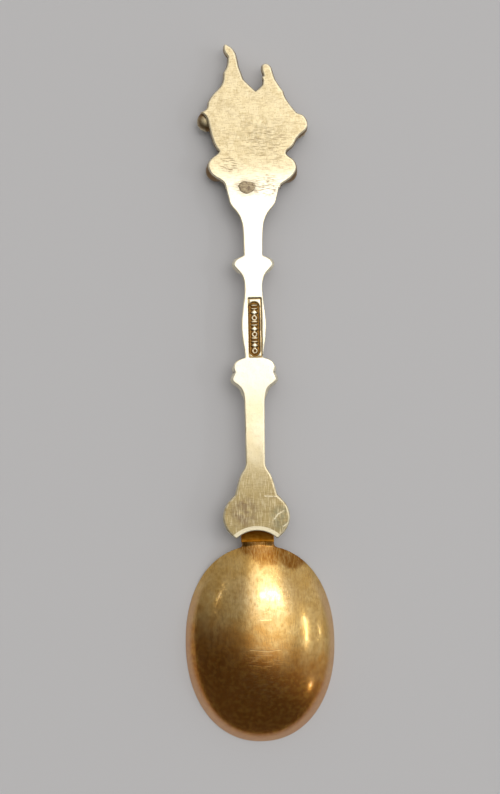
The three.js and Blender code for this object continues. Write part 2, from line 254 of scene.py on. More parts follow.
def cast(name, block, field, low, high):
    """Turns a field into a smooth closed mesh that stays inside a box.

    Its points carry two numbers for the material: proud, from 0 in a hollow to 1 on a ridge, and
    depth, the distance below the back.
    """
    field = soften(field, EDGE_PASSES)
    rounder = soften(field, RIDGE_PASSES)
    kept = np.maximum(field, block.outside_box(low + BOX_GAP, high - BOX_GAP))
    grid = openvdb.FloatGrid(1)
    grid.copyFromArray(np.ascontiguousarray(kept, dtype=np.float32))
    points, quads = grid.convertToQuads(0)
    mesh = bpy.data.meshes.new(name)
    mesh.from_pydata(((points * GRID_STEP + block.low) * MM).tolist(), [], quads.tolist())
    mesh.validate()
    proud = block.sample(rounder - field, points) / GRID_STEP
    store(mesh, "proud", np.clip(0.5 + 0.5 * proud, 0, 1))
    store(mesh, "depth", block.sample(np.broadcast_to(block.depth, field.shape), points))
    return finish_mesh(mesh)


def put(name, data):
    """Makes an object of some data and puts it in the scene."""
    thing = bpy.data.objects.new(name, data)
    bpy.context.scene.collection.objects.link(thing)
    return thing


def finish_mesh(mesh, subdivisions=0):
    """Turns a mesh's faces outward, and puts it in the scene as a smooth piece."""
    work = bmesh.new()
    work.from_mesh(mesh)
    bmesh.ops.recalc_face_normals(work, faces=work.faces)
    if work.calc_volume(signed=True) < 0:
        bmesh.ops.reverse_faces(work, faces=work.faces)
    work.to_mesh(mesh)
    work.free()
    mesh.shade_smooth()
    piece = put(mesh.name, mesh)
    if subdivisions:
        smooth = piece.modifiers.new("smooth", "SUBSURF")
        smooth.levels = smooth.render_levels = subdivisions
    return piece


def to_data(work, name):
    """Turns a working mesh into mesh data."""
    mesh = bpy.data.meshes.new(name)
    work.to_mesh(mesh)
    work.free()
    return mesh


def store(mesh, name, values):
    """Keeps one number per point on the mesh, for its material to read."""
    attribute = mesh.attributes.new(name, "FLOAT", "POINT")
    attribute.data.foreach_set("value", np.asarray(values, np.float32))


# ---- stem

STEM = {"edge": 0.9, "slope": 0.55, "crown": 1.45}  # edge thickness, and how the front swells
PAD = {"crown": 0.6, "top_y": -11.75, "full_y": -16.75}  # the stem turns into the root pad between these
KNOPS = [(2.2, 3.2), (21.9, 1.6)]  # middle and reach of each along y
KNOP_FLANGE = 0.3  # how far a knop's front stands out past its back
CAST_EDGE = 0.12  # how wide a casting's edges are rounded
PANEL = {"half": (1.12, 5.03), "centre": (0.09, 11.33), "depth": 0.16}
STAMP = {"x": -0.03, "half": 0.9, "low": 6.5, "high": 15.75, "depth": 0.5, "marks": 9, "mark_rise": 0.34}
MARK = {"ring": 0.36, "ring_line": 0.15, "lozenge": 0.38, "bar_half": 0.4, "bar_line": 0.14, "bar_y": 0.28}

# Relief on the hidden front: where it runs along y, its pitch, its slant across x, and its depth or rise
LEAVES = {"low": -12, "high": -1, "fade": 1.5, "pitch": 1.9, "slant": 1.1, "depth": 0.28}
TWIST = {"low": 6.5, "high": 17.5, "fade": 1, "pitch": 1.3, "slant": 0.9, "depth": 0.22}
BEADS = {"low": 24, "high": 29, "fade": 1, "pitch": 1.25, "half_x": 0.62, "half_y": 0.6, "rise": 0.3}
FLUTES = {"pitch": 0.95, "depth": 0.2}
FAN = {"hub_y": -26, "ribs": 14, "depth": 0.2}


def make_stem():
    low, high = STEM_LOW.copy(), STEM_HIGH.copy()
    high[1] = SEAM_Y + SEAM_OVERLAP
    stations = np.arange(low[1] + 0.02, STEM_HIGH[1] - 0.02, 0.1)
    left, right = silhouette(STEM_TRIANGLES, stations)
    block = Block(low, high, STEM_BACK)
    middle = np.interp(block.ys, stations, (left + right) / 2)[None, :, None]
    half = np.interp(block.ys, stations, (right - left) / 2)[None, :, None]
    top = high[1] + MARGIN
    ring = np.concatenate([
        [[right[-1], top]],
        np.stack([right, stations], 1)[::-1],
        np.stack([left, stations], 1),
        [[left[-1], top]],
    ])
    plan = outline_distance(ring, block.xs, block.ys)

    # the half-round front
    padness = ramp(-block.y, -PAD["top_y"], -PAD["full_y"])
    crown = np.minimum(STEM["slope"] * half, STEM["crown"])
    crown = crown * (1 - padness) + PAD["crown"] * padness
    inward = np.clip(-plan / half, 0, 1)
    thick = STEM["edge"] + crown * np.sqrt(1 - (1 - inward) ** 2)
    thick = thick + stem_ornament(block, plan, middle, padness)
    flange = KNOP_FLANGE * np.clip(3 * knop_share(block.y), 0, 1) * ramp(block.depth, 0.15, 0.45)
    field = soft_max(plan - flange, block.depth - thick, CAST_EDGE)

    # the flat back, with its worn edge, the scooped end and the stamp
    scoop = disc_plan(block, (PAD_X, COVE["centre_y"]), COVE["radius"])
    lip = COVE["lip_rise"] * np.clip(1 - scoop / COVE["lip_width"], 0, 1)
    field = soft_max(field, -block.depth - lip, CAST_EDGE + 0.2 * padness)
    field = soft_max(field, -stem_stamp(block), 0.06)
    field = soft_max(field, -scoop, 0.1)
    return cast("stem_casting", block, field, low, high)


def stem_ornament(block, plan, middle, padness):
    """Relief on the hidden front: leaves up the shaft, flutes on the knops, a fan on the root pad."""
    x = block.x - middle
    y = block.y
    chevrons = np.abs(np.sin(math.pi * (y + LEAVES["slant"] * np.abs(x)) / LEAVES["pitch"]))
    leaves = -LEAVES["depth"] * (1 - chevrons) ** 3 * stretch(y, LEAVES)
    twist = -TWIST["depth"] * grooves((y + TWIST["slant"] * x) / TWIST["pitch"]) * stretch(y, TWIST)
    bead_y = np.mod(y, BEADS["pitch"]) - BEADS["pitch"] / 2
    bead = 1 - (bead_y / BEADS["half_y"]) ** 2 - (x / BEADS["half_x"]) ** 2
    beads = BEADS["rise"] * np.sqrt(np.clip(bead, 0, 1)) * stretch(y, BEADS)
    fan_turn = np.arctan2(x, y - FAN["hub_y"]) / math.pi
    fan = -FAN["depth"] * grooves(fan_turn * FAN["ribs"], 5) * padness
    flutes = -FLUTES["depth"] * grooves(x / FLUTES["pitch"]) * np.clip(2 * knop_share(y), 0, 1)
    return (leaves + twist + beads + fan + flutes) * ramp(-plan, 0, 0.6)


def grooves(turns, sharpness=6):
    """Parallel grooves, one at each whole number of turns."""
    return np.abs(np.cos(math.pi * turns)) ** sharpness


def stretch(y, relief):
    """1 along the stretch that a relief covers, fading to 0 at its ends."""
    low, high, fade = relief["low"], relief["high"], relief["fade"]
    return ramp(y, low, low + fade) * ramp(-y, -high, fade - high)


def knop_share(y):
    """1 in the middle of a knop, falling straight to 0 at its ends."""
    return sum(np.clip(1 - np.abs(y - middle) / reach, 0, 1) for middle, reach in KNOPS)


def stem_stamp(block):
    """The recess on the back: a shallow panel, and in it a long oval with plain raised marks."""
    panel = rounded_box_plan(block, PANEL["centre"], PANEL["half"], 0.12)
    groove = soft_max(np.abs(panel + 0.1) - 0.1, block.depth - PANEL["depth"] - 0.1, 0.05)
    panel = soft_min(soft_max(panel, block.depth - PANEL["depth"], 0.05), groove, 0.04)
    low, high = STAMP["low"] + STAMP["half"], STAMP["high"] - STAMP["half"]
    oval = pill_plan(block, (STAMP["x"], low), (STAMP["x"], high), STAMP["half"])
    floor = np.full(oval.shape, STAMP["depth"], np.float32)
    for i, y in enumerate(np.linspace(low, high, STAMP["marks"])):
        floor = np.minimum(floor, stamp_mark(block, y, i))
    return soft_min(panel, soft_max(oval, block.depth - floor, 0.06), 0.04)


def stamp_mark(block, y, index):
    """Depth of the recess over one raised mark: rings, lozenges and bars in turn."""
    x = STAMP["x"]
    if index % 3 == 0:
        shape = np.abs(disc_plan(block, (x, y), MARK["ring"])) - MARK["ring_line"]
    elif index % 3 == 1:
        shape = (np.abs(block.x - x) / 1.2 + np.abs(block.y - y)) * 0.75 - MARK["lozenge"]
    else:
        left, right = x - MARK["bar_half"], x + MARK["bar_half"]
        bars = [
            pill_plan(block, (left, bar_y), (right, bar_y), MARK["bar_line"])
            for bar_y in (y - MARK["bar_y"], y + MARK["bar_y"])
        ]
        shape = np.minimum(*bars)
    return STAMP["depth"] - STAMP["mark_rise"] * np.clip(0.5 - shape / 0.12, 0, 1)


# ---- finial

PLATE = {"depth": 1.4, "flare": 0.25}

# From here to the slates, x is counted from the pad's middle
# Volutes: x, y, radius, the side that the spiral opens to, and the depth of the middle
VOLUTES = [
    (-7.3, 46.75, 1.7, -1, 1.75),
    (8.15, 45.35, 1.66, 1, 2.1),
    (-5.75, 38.4, 1.88, -1, 2.1),
    (6.1, 38, 1.9, 1, 2.1),
]
SPIRAL = {"pitch": 0.62, "half_line": 0.1, "eye": 0.3, "depth": 0.65}

# The hall on the hidden front. Depths are below the back
HALL = {"x": 0.45, "y": 47.6, "half": (5.2, 3.1), "depth": 2.35}
ROOF = {"x": 0.5, "ridge_y": 51.6, "slope": 1.6, "half": 2.2, "eaves_y": 49.5, "depth": 2.15}
LEDGES = {"ys": (46.1, 48.9, 50.6), "half": (5.3, 0.14), "depth": 2.55}
TOWERS = [(-2.75, 1.02, 54.3, 2.9), (3.15, 0.72, 53.9, 2.7)]  # x, half-width, top and depth
TOWER_FOOT_Y = 44.9
SPIRES = [(-2.72, 54.4, 58.2, 0.85), (3.1, 54, 55.9, 0.68)]  # x, foot, top and radius
SPIRE_DEPTH = 1.5
SHIELD = {"x": 0.5, "half": 4.35, "foot_y": 36.1, "top_y": 44.9, "border": 0.55, "band": 0.55}
SHIELD_DEPTHS = (3.05, 3.55, 3.35)  # of its body, border and band

# Arched openings: x, foot, height and depth of the floor
WINDOWS = [(-0.75 + 0.88 * i, y, tall, 1.95) for i in range(4) for y, tall in ((46.65, 1.1), (49.3, 0.7))]
WINDOWS += [(-2.75, y, 1.2, 2.45) for y in (45.6, 49, 52.2)]
WINDOWS += [(3.15, y, 1.2, 2.25) for y in (45.6, 48.8, 51.9)]
ARCH_HALF = 0.25
SLATES = {"rows": 5, "y": 45.6, "pitch": 0.95, "slant": 0.7, "half_line": 0.09, "depth": 1.6}
SLATE_EDGES = [(-1, -4.9), (1, 5.4)]  # the side of the hall that the slates cover, and the x they start at


def make_finial():
    ring = back_outline(FINIAL_TRIANGLES, FINIAL_BACK)
    near_patch = np.all((ring > PATCH_LOW[:2] - 0.5) & (ring < PATCH_HIGH[:2] + 0.5), axis=1)
    ring = ring[~near_patch]
    foot = ring[:, 1] < ring[:, 1].min() + 0.05
    low, high = FINIAL_LOW.copy(), FINIAL_HIGH.copy()
    low[1] = SEAM_Y - SEAM_OVERLAP
    ring[foot, 1] = low[1] - MARGIN
    block = Block(low, high, FINIAL_BACK)
    plan = outline_distance(ring, block.xs, block.ys)

    flare = PLATE["flare"] * np.clip(block.depth / PLATE["depth"], 0, 1)
    field = soft_max(plan - flare, block.depth - PLATE["depth"], 0.15)
    for shape in finial_relief(block, plan):
        field = soft_min(field, shape, 0.16)
    for volute in VOLUTES:
        field = soft_min(field, scroll(block, *volute), 0.4)
    for cut in finial_cuts(block):
        field = soft_max(field, -cut, 0.08)
    field = soft_max(field, -block.depth, CAST_EDGE)
    return cast("finial_casting", block, field, low, high)


def raised(block, plan, depth, blend=0.14):
    """A plan shape that stands out of the plate down to a depth."""
    return soft_max(plan, block.depth - depth, blend)


def scroll(block, x0, y0, radius, side, middle):
    """A volute: a domed disc with a spiral groove, its middle at a depth below the back."""
    x, y = block.x - PAD_X - x0, block.y - y0
    reach = np.sqrt(x * x + y * y)
    ball = np.sqrt(x * x + y * y + (1.15 * (block.depth - middle)) ** 2) - radius
    pitch = SPIRAL["pitch"]
    angle = np.arctan2(y, side * x)
    off_line = np.abs(np.mod(reach - pitch * angle / (2 * math.pi), pitch) - pitch / 2)
    cut = soft_max(off_line - SPIRAL["half_line"], middle + SPIRAL["depth"] - block.depth, 0.05)
    return soft_max(ball, -np.where(reach > SPIRAL["eye"], cut, 1), 0.1)


def tower(block, x0, half, top, depth):
    """A square tower with three bands round it."""
    x, low = PAD_X + x0, TOWER_FOOT_Y
    walls = rounded_box_plan(block, (x, (low + top) / 2), (half, (top - low) / 2), 0.05)
    shapes = [raised(block, walls, depth)]
    for share in (0.36, 0.68, 1):
        centre = (x, low + share * (top - low))
        band = rounded_box_plan(block, centre, (half + 0.18, 0.2), 0.08)
        shapes.append(raised(block, band, depth + 0.18, 0.1))
    return shapes


def spire(block, x0, foot, top, radius):
    """A round spire that tapers to a quarter of its radius."""
    taper = 1 - 0.75 * ramp(block.y, foot, top)
    shape = np.sqrt((block.x - PAD_X - x0) ** 2 + (block.depth - SPIRE_DEPTH) ** 2) - radius * taper
    return np.maximum(shape * 0.9, np.maximum(foot - block.y, block.y - top))


def finial_relief(block, plan):
    """The hidden front: a hall with a pitched roof between two towers, over a shield."""
    inset = plan + 0.35
    hall = rounded_box_plan(block, (PAD_X + HALL["x"], HALL["y"]), HALL["half"], 0.1)
    slope = np.abs(block.x - PAD_X - ROOF["x"]) + (block.y - ROOF["ridge_y"]) * ROOF["slope"]
    roof = np.maximum(slope - ROOF["half"], ROOF["eaves_y"] - block.y) * 0.6
    shapes = [
        raised(block, inset, 1.85, 0.2),
        raised(block, hall, HALL["depth"]),
        raised(block, np.maximum(roof, inset), ROOF["depth"]),
    ]
    for y in LEDGES["ys"]:
        ledge = rounded_box_plan(block, (PAD_X + HALL["x"], y), LEDGES["half"], 0.1)
        shapes.append(raised(block, ledge, LEDGES["depth"], 0.08))
    for sizes in TOWERS:
        shapes += tower(block, *sizes)
    shapes += [spire(block, *sizes) for sizes in SPIRES]
    return shapes + shield(block)


def shield(block):
    """A plain shield with a raised border and a diagonal band."""
    x, y = block.x - PAD_X - SHIELD["x"], block.y
    foot, top = SHIELD["foot_y"], SHIELD["top_y"]
    sides = np.abs(x) - SHIELD["half"] * np.sqrt(ramp(y, foot, top))
    body = np.maximum(np.maximum(sides * 0.85, y - top), foot + 0.05 - y)
    border = np.maximum(body, -(body + SHIELD["border"]))
    band = np.maximum(np.abs(x - 0.75 * (y - 41)) * 0.8 - SHIELD["band"], body + 0.3)
    parts = zip((body, border, band), SHIELD_DEPTHS, (0.14, 0.12, 0.1))
    return [raised(block, part, depth, blend) for part, depth, blend in parts]


def finial_cuts(block):
    """Arched windows and doors, and slate lines."""
    cuts = []
    for x0, foot, height, depth in WINDOWS:
        x = PAD_X + x0
        arch = pill_plan(block, (x, foot), (x, foot + height), ARCH_HALF)
        cuts.append(soft_max(arch, depth - block.depth, 0.05))
    for side, x0 in SLATE_EDGES:
        past_edge = side * (block.x - PAD_X - x0)
        for k in range(SLATES["rows"]):
            line_y = SLATES["y"] + SLATES["pitch"] * k - SLATES["slant"] * past_edge
            line = np.abs(block.y - line_y) * 0.8 - SLATES["half_line"]
            line = soft_max(line, -past_edge, 0.05)
            cuts.append(soft_max(line, SLATES["depth"] - block.depth, 0.05))
    return cuts


# ---- bowl

COLUMNS = 64
NECK_COLUMNS = (14, 15, 16, 17, 18)  # the columns that run on into the tongue
BOWL = {"wall": 0.95, "squareness": 2.15, "fullness": 0.93, "neck_y": -25.65, "rim_crease": 0.55}
BOWL_CENTRE_X = (BOWL_LOW[0] + BOWL_HIGH[0]) / 2
BOWL_HALF_WIDTH = (BOWL_HIGH[0] - BOWL_LOW[0]) / 2
BOWL_HALF_LENGTH = (BOWL["neck_y"] - BOWL_LOW[1]) / 2
BOWL_CENTRE_Y = BOWL_LOW[1] + BOWL_HALF_LENGTH
TONGUE = {"half": 2.87, "top": 3.56, "bottom": 2.35, "end_y": -17.6, "x": PAD_X + 0.12}
TONGUE_SHARES = (1, 0.55, 0, -0.55, -1)  # places across the tongue, one for each of the neck's columns
# How far the bowl's rings are from its crown, as shares of the way to the rim
REACHES = (0.05, 0.14, 0.24, 0.34, 0.44, 0.54, 0.63, 0.715, 0.79, 0.86, 0.915, 0.96, 0.99, 1)


def bowl_section(reach, along):
    """Height over the rim at a reach from the crown (0) to the rim (1), as a share of the crown's."""
    brim = math.sqrt(1 - BOWL["fullness"] ** 2)
    dome = (math.sqrt(1 - (BOWL["fullness"] * reach) ** 2) - brim) / (1 - brim)
    parabola = 1 - reach ** 2
    return dome + (parabola - dome) * max(along, 0) ** 2


def superellipse(turn):
    """Unit rim point at a share of a turn."""
    power = 2 / BOWL["squareness"]
    across, along = math.cos(2 * math.pi * turn), math.sin(2 * math.pi * turn)
    return math.copysign(abs(across) ** power, across), math.copysign(abs(along) ** power, along)


def bowl_ring(reach, inner):
    """One ring of the bowl's outer or inner face, as points in metres."""
    inset = BOWL["wall"] if inner else 0
    points = []
    for i in range(COLUMNS):
        across, along = superellipse(i / COLUMNS)
        to_neck = max(along, 0) ** (2 + 4 * reach * reach)  # wide at the crown, narrow at the rim
        rim_z = (TONGUE["bottom"] if inner else TONGUE["top"]) * to_neck
        z = rim_z + (BOWL_HIGH[2] - inset - rim_z) * bowl_section(reach, along)
        x = BOWL_CENTRE_X + (BOWL_HALF_WIDTH - inset) * across * reach
        y = BOWL_CENTRE_Y + (BOWL_HALF_LENGTH - inset * (1 - to_neck)) * along * reach
        points.append(Vector((x, y, z)) * MM)
    return points


def make_bowl():
    mesh = bmesh.new()
    rings = [[mesh.verts.new(p) for p in bowl_ring(reach, False)] for reach in REACHES]
    rings += [[mesh.verts.new(p) for p in bowl_ring(reach, True)] for reach in reversed(REACHES)]
    last_outer = len(REACHES) - 1
    outer_rim, inner_rim = rings[last_outer], rings[last_outer + 1]
    for k, (ring, following) in enumerate(zip(rings, rings[1:])):
        bridge(mesh, ring, following, NECK_COLUMNS[:-1] if k == last_outer else ())
    mesh.faces.new(rings[0][::-1])
    mesh.faces.new(rings[-1])
    add_tongue(mesh, outer_rim, inner_rim)
    crease = mesh.edges.layers.float.new("crease_edge")
    for rim in (outer_rim, inner_rim):
        for i in range(COLUMNS):
            if i not in NECK_COLUMNS[:-1]:
                edge = mesh.edges.get((rim[i], rim[(i + 1) % COLUMNS]))
                edge[crease] = BOWL["rim_crease"]
    return finish_mesh(to_data(mesh, "bowl_shell"), subdivisions=2)


def add_tongue(mesh, outer_rim, inner_rim):
    """Runs the neck's columns on as a flat tongue with a round end."""
    top = [outer_rim[i] for i in NECK_COLUMNS]
    bottom = [inner_rim[i] for i in NECK_COLUMNS]
    end_y = TONGUE["end_y"]
    stations = [(y, 1, 0) for y in (-25.1, -24.2, -22.6, -20.9)]
    stations += [(end_y - 1.2, 0.86, 0.02), (end_y, 0.5, 0.02)]
    for y, width, thinning in stations:
        new_top, new_bottom = [], []
        for share in TONGUE_SHARES:
            x = TONGUE["x"] + TONGUE["half"] * share * width
            bow = (0.35 if y == end_y else 0) * (1 - share * share)
            new_top.append(mesh.verts.new(Vector((x, y + bow, TONGUE["top"] - thinning)) * MM))
            new_bottom.append(mesh.verts.new(Vector((x, y + bow, TONGUE["bottom"] + thinning)) * MM))
        for k in range(len(TONGUE_SHARES) - 1):
            mesh.faces.new((top[k], top[k + 1], new_top[k + 1], new_top[k]))
            mesh.faces.new((bottom[k], new_bottom[k], new_bottom[k + 1], bottom[k + 1]))
        mesh.faces.new((top[0], new_top[0], new_bottom[0], bottom[0]))
        mesh.faces.new((top[-1], bottom[-1], new_bottom[-1], new_top[-1]))
        top, bottom = new_top, new_bottom
    for k in range(len(TONGUE_SHARES) - 1):
        mesh.faces.new((top[k], top[k + 1], bottom[k + 1], bottom[k]))


# ---- solder

FILLET = {"rows": 9, "columns": 25, "toe": 0.75, "wall_gap": 0.12, "ripple": 0.015, "buried": 0.3}


def make_neck_solder():
    """The fillet that ran into the corner between the pad's scooped end and the tongue."""
    half, columns = TONGUE["half"] - 0.06, FILLET["columns"]
    wall_z = NECK_SOLDER_TOP - 0.05
    toe_y = PAD_END_Y - FILLET["toe"]
    mesh = bmesh.new()
    rings = []
    for r in range(FILLET["rows"]):
        out = r / (FILLET["rows"] - 1)
        top, bottom = [], []
        for c in range(columns):
            across = 2 * c / (columns - 1) - 1
            x = TONGUE["x"] + half * across
            wall = (COVE["radius"] + FILLET["wall_gap"]) ** 2 - (x - PAD_X) ** 2
            wall_y = COVE["centre_y"] + math.sqrt(wall)
            y = wall_y + (toe_y - wall_y) * out
            ripple = FILLET["ripple"] * math.sin(2.3 * x + 1.1 * y + 0.6) * math.sin(math.pi * out)
            height = (wall_z - TONGUE["top"]) * (1 - 0.25 * across ** 2) * (1 - out) ** 2.2 + ripple
            top.append(mesh.verts.new(Vector((x, y, TONGUE["top"] + 0.03 + height)) * MM))
            bottom.append(mesh.verts.new(Vector((x, y, TONGUE["top"] - FILLET["buried"])) * MM))
        rings.append(top + bottom[::-1])
    for ring, following in zip(rings, rings[1:]):
        bridge(mesh, ring, following)
    for ring in (rings[0], rings[-1]):
        for k in range(columns - 1):
            mesh.faces.new((ring[k], ring[k + 1], ring[-2 - k], ring[-1 - k]))
    return finish_mesh(to_data(mesh, "neck_solder_fillet"), subdivisions=2)


def make_patch():
    """The grey spot of solder on the handle's back, filed nearly flush."""
    half = (PATCH_HIGH - PATCH_LOW) / 2
    spokes, rings = 40, 8
    swell, buried = 0.025, -0.2  # heights of its faces over the handle's back
    mesh = bmesh.new()
    layers = []
    for side in (1, -1):
        layer = []
        for r in range(1, rings + 1):
            reach = r / rings
            ring = []
            for s in range(spokes):
                angle = 2 * math.pi * s / spokes
                ragged = 0.9 + 0.05 * math.sin(3 * angle + 0.4) + 0.03 * math.sin(7 * angle)
                x = PATCH_CENTRE[0] + half[0] * ragged * reach * math.cos(angle)
                y = PATCH_CENTRE[1] + half[1] * ragged * reach * math.sin(angle)
                skin = swell * (1 - reach ** 3) if side > 0 else buried
                ring.append(mesh.verts.new(Vector((x, y, back_height(y) + skin)) * MM))
            layer.append(ring)
        layers.append(layer)
    for layer in layers:
        mesh.faces.new(layer[0])
        for ring, following in zip(layer, layer[1:]):
            bridge(mesh, ring, following)
    bridge(mesh, layers[0][-1], layers[1][-1])
    return finish_mesh(to_data(mesh, "finial_solder_spot"))


def bridge(mesh, ring, following, gap=()):
    """Joins two closed rings of points with faces, except at a gap."""
    for i in range(len(ring)):
        if i not in gap:
            j = (i + 1) % len(ring)
            mesh.faces.new((ring[i], ring[j], following[j], following[i]))


def back_height(y):
    return float(np.polyval(FINIAL_BACK if y > SEAM_Y else STEM_BACK, y))


# ---- materials

def add_node(tree, kind, inputs=None, **settings):
    """Adds a node, with its inputs linked to sockets or set to values."""
    node = tree.nodes.new("ShaderNode" + kind)
    for key, value in settings.items():
        setattr(node, key, value)
    for key, value in (inputs or {}).items():
        if isinstance(value, bpy.types.NodeSocket):
            tree.links.new(value, node.inputs[key])
        else:
            node.inputs[key].default_value = value
    return node


class Finish:
    """A metal written node by node. Each method adds a node and returns its output socket."""

    def __init__(self, name):
        self.material = bpy.data.materials.new(name)
        self.material.use_nodes = True
        self.tree = self.material.node_tree
        self.shader = self.tree.nodes["Principled BSDF"]
        self.shader.inputs["Metallic"].default_value = 1
        place = self.node("TexCoord").outputs["Object"]
        self.place = self.node("VectorMath", {0: place, "Scale": 1 / MM}, operation="SCALE").outputs[0]
        axes = self.node("SeparateXYZ", {0: self.place}).outputs
        self.x, self.y = axes["X"], axes["Y"]

    def node(self, kind, inputs=None, **settings):
        return add_node(self.tree, kind, inputs, **settings)

    def math(self, operation, a, b=0):
        return self.node("Math", {0: a, 1: b}, operation=operation).outputs[0]

    def vector(self, operation, a, b=(0, 0, 0)):
        """A vector operation's result, which is a number for lengths and products."""
        result = "Value" if operation in ("LENGTH", "DISTANCE", "DOT_PRODUCT") else "Vector"
        return self.node("VectorMath", {0: a, 1: b}, operation=operation).outputs[result]

    def add(self, a, b):
        return self.math("ADD", a, b)

    def times(self, a, b):
        return self.math("MULTIPLY", a, b)

    def attribute(self, name):
        return self.node("Attribute", attribute_name=name).outputs["Fac"]

    def between(self, value, low, high):
        """0 at low, 1 at high and smooth between, whichever of the two is the greater."""
        ends = {"Value": value, "From Min": low, "From Max": high}
        return self.node("MapRange", ends, interpolation_type="SMOOTHSTEP").outputs["Result"]

    def noise(self, size, detail, turn=0):
        """Noise with features of a size in millimetres, one number or one for each axis."""
        sizes = size if isinstance(size, tuple) else (size, size, size)
        mapping = {"Vector": self.place, "Rotation": (0, 0, turn), "Scale": sizes}
        spot = self.node("Mapping", mapping, vector_type="TEXTURE").outputs[0]
        return self.node("TexNoise", {"Vector": spot, "Scale": 1, "Detail": detail}).outputs["Fac"]

    def patches(self, size, detail, low, high):
        """Patches: 1 where a noise is above high, 0 where it is below low."""
        return self.between(self.noise(size, detail), low, high)

    def hairlines(self, size, turn, width):
        """Fine lines: where a stretched noise crosses its middle value."""
        off_middle = self.math("ABSOLUTE", self.add(self.noise(size, 1.5, turn), -0.5))
        return self.between(off_middle, width, 0)

    def spot(self, x, y, wide, tall, fade=0.6):
        """1 inside an oval of these half-sizes, falling to 0 at its edge."""
        offset = self.vector("SUBTRACT", self.place, (x, y, 0))
        scaled = self.vector("MULTIPLY", offset, (1 / wide, 1 / tall, 0))
        return self.between(self.vector("LENGTH", scaled), 1, 1 - fade)

    def box_reach(self, centre, half):
        """Distance outside a rectangle in plan, negative inside it."""
        across = self.add(self.math("ABSOLUTE", self.add(self.x, -centre[0])), -half[0])
        along = self.add(self.math("ABSOLUTE", self.add(self.y, -centre[1])), -half[1])
        return self.most([across, along])

    def scratch(self, start, end, width):
        """A single straight scratch between two plan points."""
        run = Vector((end[0] - start[0], end[1] - start[1], 0))
        offset = self.vector("SUBTRACT", self.vector("MULTIPLY", self.place, (1, 1, 0)), (*start, 0))
        along = self.vector("DOT_PRODUCT", offset, run / run.length_squared)
        share = self.node("Clamp", {"Value": along}).outputs[0]
        on_line = self.node("VectorMath", {0: run, "Scale": share}, operation="SCALE").outputs[0]
        return self.between(self.vector("DISTANCE", offset, on_line), width, 0)

    def most(self, values):
        return functools.reduce(lambda a, b: self.math("MAXIMUM", a, b), values)

    def blend(self, share, a, b):
        """One colour or another, by a share."""
        a, b = [(*colour, 1) if isinstance(colour, tuple) else colour for colour in (a, b)]
        return self.node("Mix", {0: share, 6: a, 7: b}, data_type="RGBA").outputs[2]

    def coat(self, colour, coats):
        """A colour with others laid over it in turn: each one's share, strength and colour."""
        for share, strength, over in coats:
            colour = self.blend(self.times(share, strength), colour, over)
        return colour

    def finish(self, colour, roughness, height, relief_mm):
        """Wires up the shader: relief_mm is how tall a height of 1 stands."""
        self.tree.links.new(colour, self.shader.inputs["Base Color"])
        self.tree.links.new(roughness, self.shader.inputs["Roughness"])
        bump = self.node("Bump", {"Height": height, "Distance": relief_mm * MM})
        self.tree.links.new(bump.outputs[0], self.shader.inputs["Normal"])
        return self.material


# Thin gilding on the castings
# Painted highlight: near-white gilt that stands in for the light's reflection on the upper stem
PAINTED_SHEEN_GILT = (0.98, 0.94, 0.79)
BRIGHT_GILT = (0.95, 0.88, 0.66)
PALE_GILT = (0.88, 0.79, 0.54)
FILED_GILT = (0.77, 0.66, 0.42)
DULL_GILT = (0.4, 0.3, 0.12)
MOTTLED_GILT = (0.56, 0.45, 0.24)
SMOKED_GILT = (0.44, 0.38, 0.24)
HALO_BROWN = (0.3, 0.24, 0.16)
PURPLE_STAIN = (0.24, 0.17, 0.11)
GREEN_STAIN = (0.26, 0.26, 0.17)
# Brown for file marks, and also painted shade on the castings' side walls
TARNISH_AND_SHADE_BROWN = (0.2, 0.1, 0.025)
HOLLOW_DARK_BROWN = (0.1, 0.045, 0.01)
# Painted shade in the groove round the stamp's panel
PANEL_SHADE_LINE = (0.34, 0.22, 0.08)
STAMP_GOLD = (0.66, 0.45, 0.17)
STAMP_GROUND = (0.24, 0.12, 0.025)

# Thick gold plate on the bowl
DEEP_GOLD = (0.72, 0.45, 0.13)
LIGHT_GOLD = (0.8, 0.56, 0.22)
# Painted glow: pale gold round the bowl's main highlight
PAINTED_GLOW_GOLD = (0.87, 0.73, 0.45)
OLIVE_GOLD = (0.55, 0.33, 0.08)
# Painted reflection: the dark red-brown the bowl shows towards its tip
PAINTED_DARK_RED = (0.52, 0.165, 0.01)
LEFT_BROWN = (0.36, 0.13, 0.02)
STREAK_BROWN = (0.34, 0.15, 0.02)
ORANGE_GOLD = (0.74, 0.36, 0.06)
NECK_AMBER = (0.26, 0.095, 0.002)
# Painted reflection: the pinkish band of table seen in the rim
PAINTED_RIM_REFLECTION = (0.78, 0.52, 0.34)
SCRATCH_GOLD = (0.92, 0.74, 0.4)

# The fillet, then the filed patch
SOLDER_AMBER = (0.62, 0.21, 0.007)
SOLDER_ORANGE = (0.8, 0.36, 0.04)
# Painted shade in the fillet's hollow under the pad's lip
SOLDER_SHADE_BROWN = (0.3, 0.1, 0.005)
SOLDER_PALE = (0.46, 0.39, 0.26)
SOLDER_GREY = (0.27, 0.21, 0.14)
SOLDER_DARK = (0.22, 0.17, 0.12)

# Amber zones round the bowl's neck: x, y and half-sizes
BOWL_AMBER = [(2, -25.8, 6.2, 5), (6, -28.4, 3.2, 2.2), (-1.4, -25.4, 3.4, 3)]

# Scratches, from one plan point to another
BOWL_SCRATCHES = [
    ((-0.2, -38.05), (2.1, -38.05)),
    ((-1.7, -43.1), (1.1, -43.35)),
    ((1.1, -43.35), (3.5, -43.2)),
]
PAD_SCRATCHES = [
    ((1.2, -17.2), (3.3, -17.35)),
    ((2.8, -21.1), (3.4, -20.3)),
    ((3.4, -20.3), (4.5, -19.7)),
    ((4.3, -22.4), (5.2, -21.7)),
    ((3.3, -17.35), (3.9, -17.9)),
]


